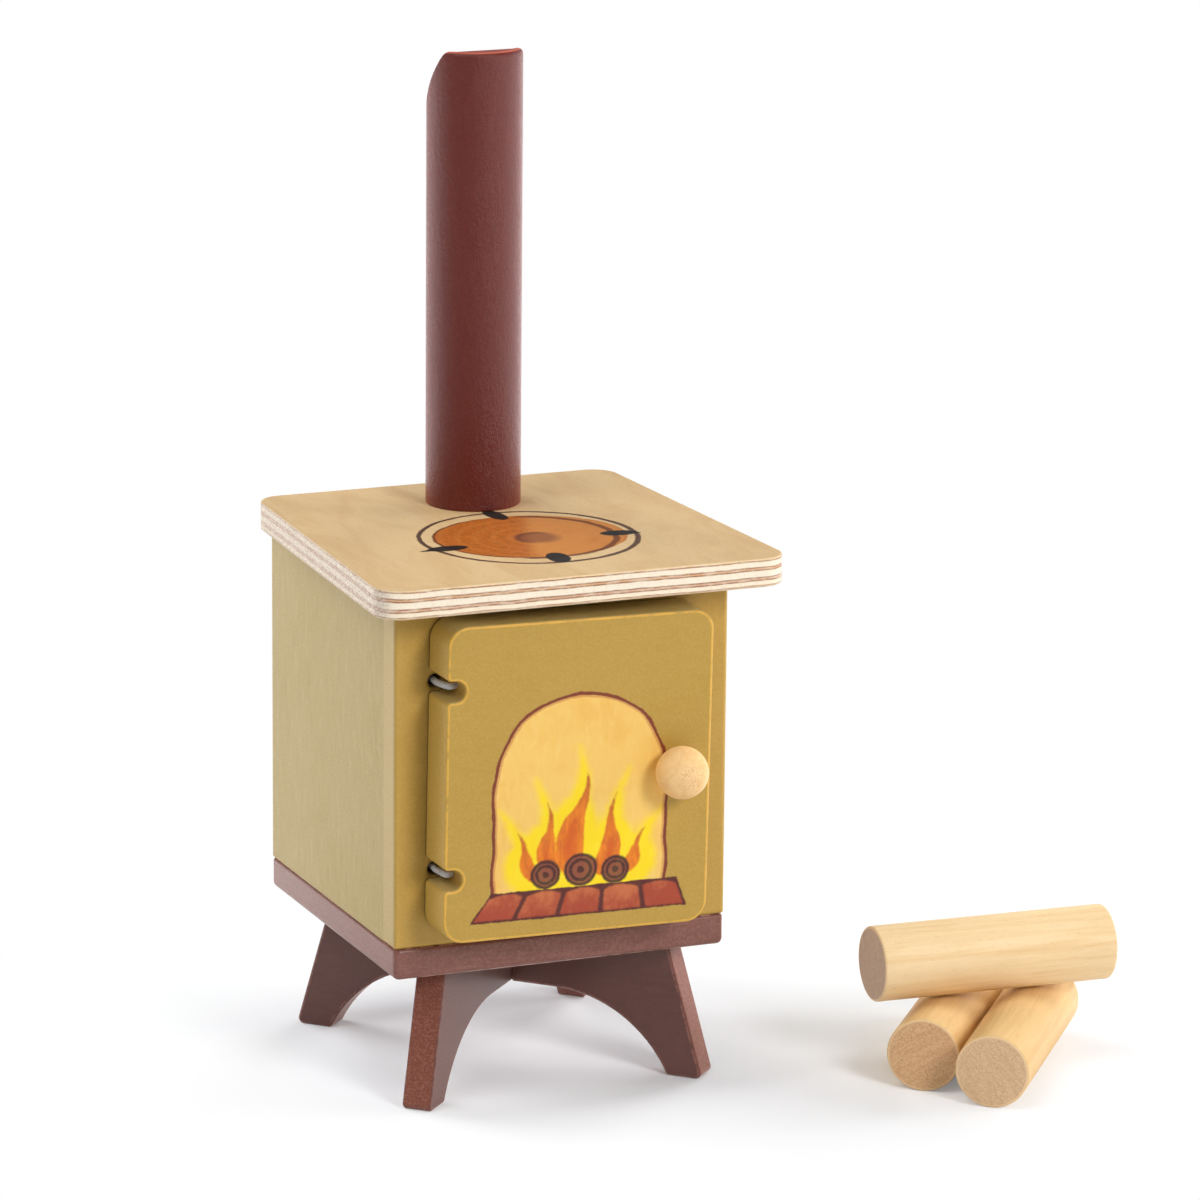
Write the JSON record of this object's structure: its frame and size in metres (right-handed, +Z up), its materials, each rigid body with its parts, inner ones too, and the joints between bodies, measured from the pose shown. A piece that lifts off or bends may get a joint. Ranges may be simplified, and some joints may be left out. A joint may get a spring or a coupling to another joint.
{
  "type": "dollhouse wood stove",
  "caption": "Small painted wooden toy stove on crossed legs, with a flue, a plywood top and a door on elastic cords, beside loose wooden logs.",
  "frame": {"origin": "on the floor, at the middle of the footprint of the stove and its logs taken together", "axes": "+Z up, -Y towards the viewer of the stove's door, +X to the right of that viewer, where the logs lie"},
  "size_m": [0.1476, 0.1048, 0.1901],
  "materials": {
    "mustard_paint": "satin mustard paint on wood",
    "maroon_paint": "satin maroon paint on wood",
    "birch_plywood": "matt varnished birch plywood",
    "bare_beech": "bare sanded wood",
    "peg_wood": "bare wooden dowel",
    "elastic_cord": "woven grey elastic"
  },
  "bodies": {
    "stove": {"left_side_panel": "mustard_paint", "right_side_panel": "mustard_paint", "back_panel": "mustard_paint", "front_panel": "mustard_paint", "base_plate": "maroon_paint", "top_plate": "birch_plywood", "flue_pipe": "maroon_paint", "flue_peg": "peg_wood", "leg_board_a": "maroon_paint", "leg_board_b": "maroon_paint", "base_peg_1": "peg_wood", "base_peg_2": "peg_wood", "base_peg_3": "peg_wood", "base_peg_4": "peg_wood", "top_peg_1": "peg_wood", "top_peg_2": "peg_wood", "top_peg_3": "peg_wood", "top_peg_4": "peg_wood", "leg_peg_1": "peg_wood", "leg_peg_2": "peg_wood", "leg_peg_3": "peg_wood", "leg_peg_4": "peg_wood", "upper_hinge_cord": "elastic_cord", "lower_hinge_cord": "elastic_cord"},
    "door": {"door_panel": "mustard_paint", "door_knob": "bare_beech", "knob_peg": "peg_wood"},
    "log_left": {"log_left": "bare_beech"},
    "log_right": {"log_right": "bare_beech"},
    "log_top": {"log_top": "bare_beech"}
  },
  "joints": [
    {"name": "door_hinge", "type": "hinge", "parent": "stove", "child": "door", "pos_m": [-0.0614, -0.01432, 0.0659], "axis": [0, 0, -1], "range_deg": [0, 90], "deforming": ["upper_hinge_cord", "lower_hinge_cord"]},
    {"name": "log_top_lift", "type": "slide", "parent": "stove", "child": "log_top", "axis": [0, 0, 1], "range_m": [0, 0.04]},
    {"name": "log_left_slide", "type": "slide", "parent": "stove", "child": "log_left", "axis": [-0.6107, -0.7919, 0], "range_m": [0, 0.06]},
    {"name": "log_right_slide", "type": "slide", "parent": "stove", "child": "log_right", "axis": [-0.6107, -0.7919, 0], "range_m": [0, 0.06]}
  ]
}
